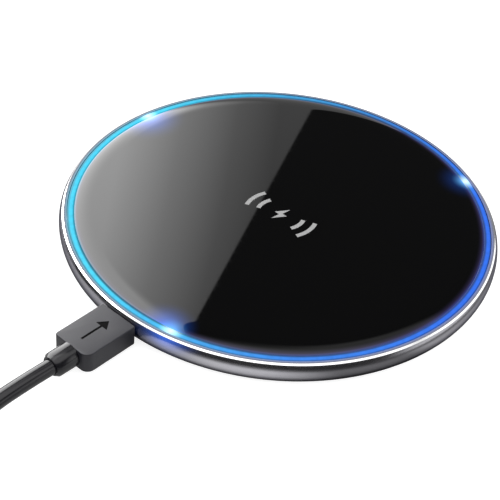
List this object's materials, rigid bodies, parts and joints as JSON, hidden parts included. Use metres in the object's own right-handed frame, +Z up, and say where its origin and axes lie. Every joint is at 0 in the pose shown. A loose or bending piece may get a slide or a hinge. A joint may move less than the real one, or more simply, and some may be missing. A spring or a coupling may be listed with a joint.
{
  "type": "wireless charging pad",
  "caption": "Flat round wireless charging pad: black glass top in a metal rim with a lit blue ring, and a USB cable plugged into its edge, its spare length coiled and tied.",
  "frame": {"origin": "bottom centre of the pad, on the surface that its rubber feet stand on", "axes": "+Z up through the glass, the pad's short axis; the USB socket faces -Y and the cable leaves along -Y"},
  "size_m": [0.1087, 0.1774, 0.0076],
  "materials": {
    "top_glass": "black-backed panel glass, polished",
    "light_guide": "clear light guide lit cyan to blue, satin",
    "white_plastic": "moulded white liner",
    "frame_metal": "dark grey anodised, bright diamond-cut rim",
    "base_plastic": "fine moulded texture",
    "foot_rubber": "silicone, matt",
    "screw_steel": "zinc plated",
    "board": "fibreglass board with solder mask",
    "ferrite": "sintered ferrite",
    "copper_wire": "enamelled copper",
    "film": "amber insulating film",
    "adhesive": "black double-sided tape",
    "chip": "moulded epoxy",
    "capacitor": "ceramic body",
    "connector_steel": "nickel plated",
    "led": "LED package",
    "cable_jacket": "soft thermoplastic, satin",
    "tie": "hook-and-loop strap"
  },
  "bodies": {
    "pad": {"base_cover": "base_plastic", "base_screw_1": "screw_steel", "base_screw_2": "screw_steel", "base_screw_3": "screw_steel", "base_screw_4": "screw_steel", "bridge_chip_1": "chip", "bridge_chip_2": "chip", "clock_crystal": "connector_steel", "coil_insulating_film": "film", "coil_tray": "base_plastic", "control_chip": "chip", "ferrite_sheet": "ferrite", "glass_adhesive_ring": "adhesive", "glass_top": "top_glass", "input_capacitor_1": "capacitor", "input_capacitor_2": "capacitor", "input_inductor": "ferrite", "light_guide_ring": "light_guide", "light_reflector_ring": "white_plastic", "main_board": "board", "resonance_capacitor_1": "capacitor", "resonance_capacitor_2": "capacitor", "resonance_capacitor_3": "capacitor", "resonance_capacitor_4": "capacitor", "rubber_foot_1": "foot_rubber", "rubber_foot_2": "foot_rubber", "rubber_foot_3": "foot_rubber", "rubber_foot_4": "foot_rubber", "side_frame": "frame_metal", "status_led_1": "led", "status_led_2": "led", "status_led_3": "led", "temperature_sensor": "chip", "transmit_coil": "copper_wire", "usb_socket_shell": "connector_steel", "usb_socket_tongue": "chip"},
    "cable": {"plug_metal_shell": "connector_steel", "plug_contact_block": "chip", "plug_overmould": "cable_jacket", "plug_strain_relief": "cable_jacket", "cord_run": "cable_jacket", "cord_coil": "cable_jacket", "cord_tail": "cable_jacket", "cord_tie": "tie", "usb_a_strain_relief": "cable_jacket", "usb_a_overmould": "cable_jacket", "usb_a_shell": "connector_steel", "usb_a_contact_block": "chip"}
  },
  "joints": [
    {"name": "cable_unplug", "type": "slide", "parent": "pad", "child": "cable", "axis": [0, -1, 0], "range_m": [0, 0.01]}
  ]
}
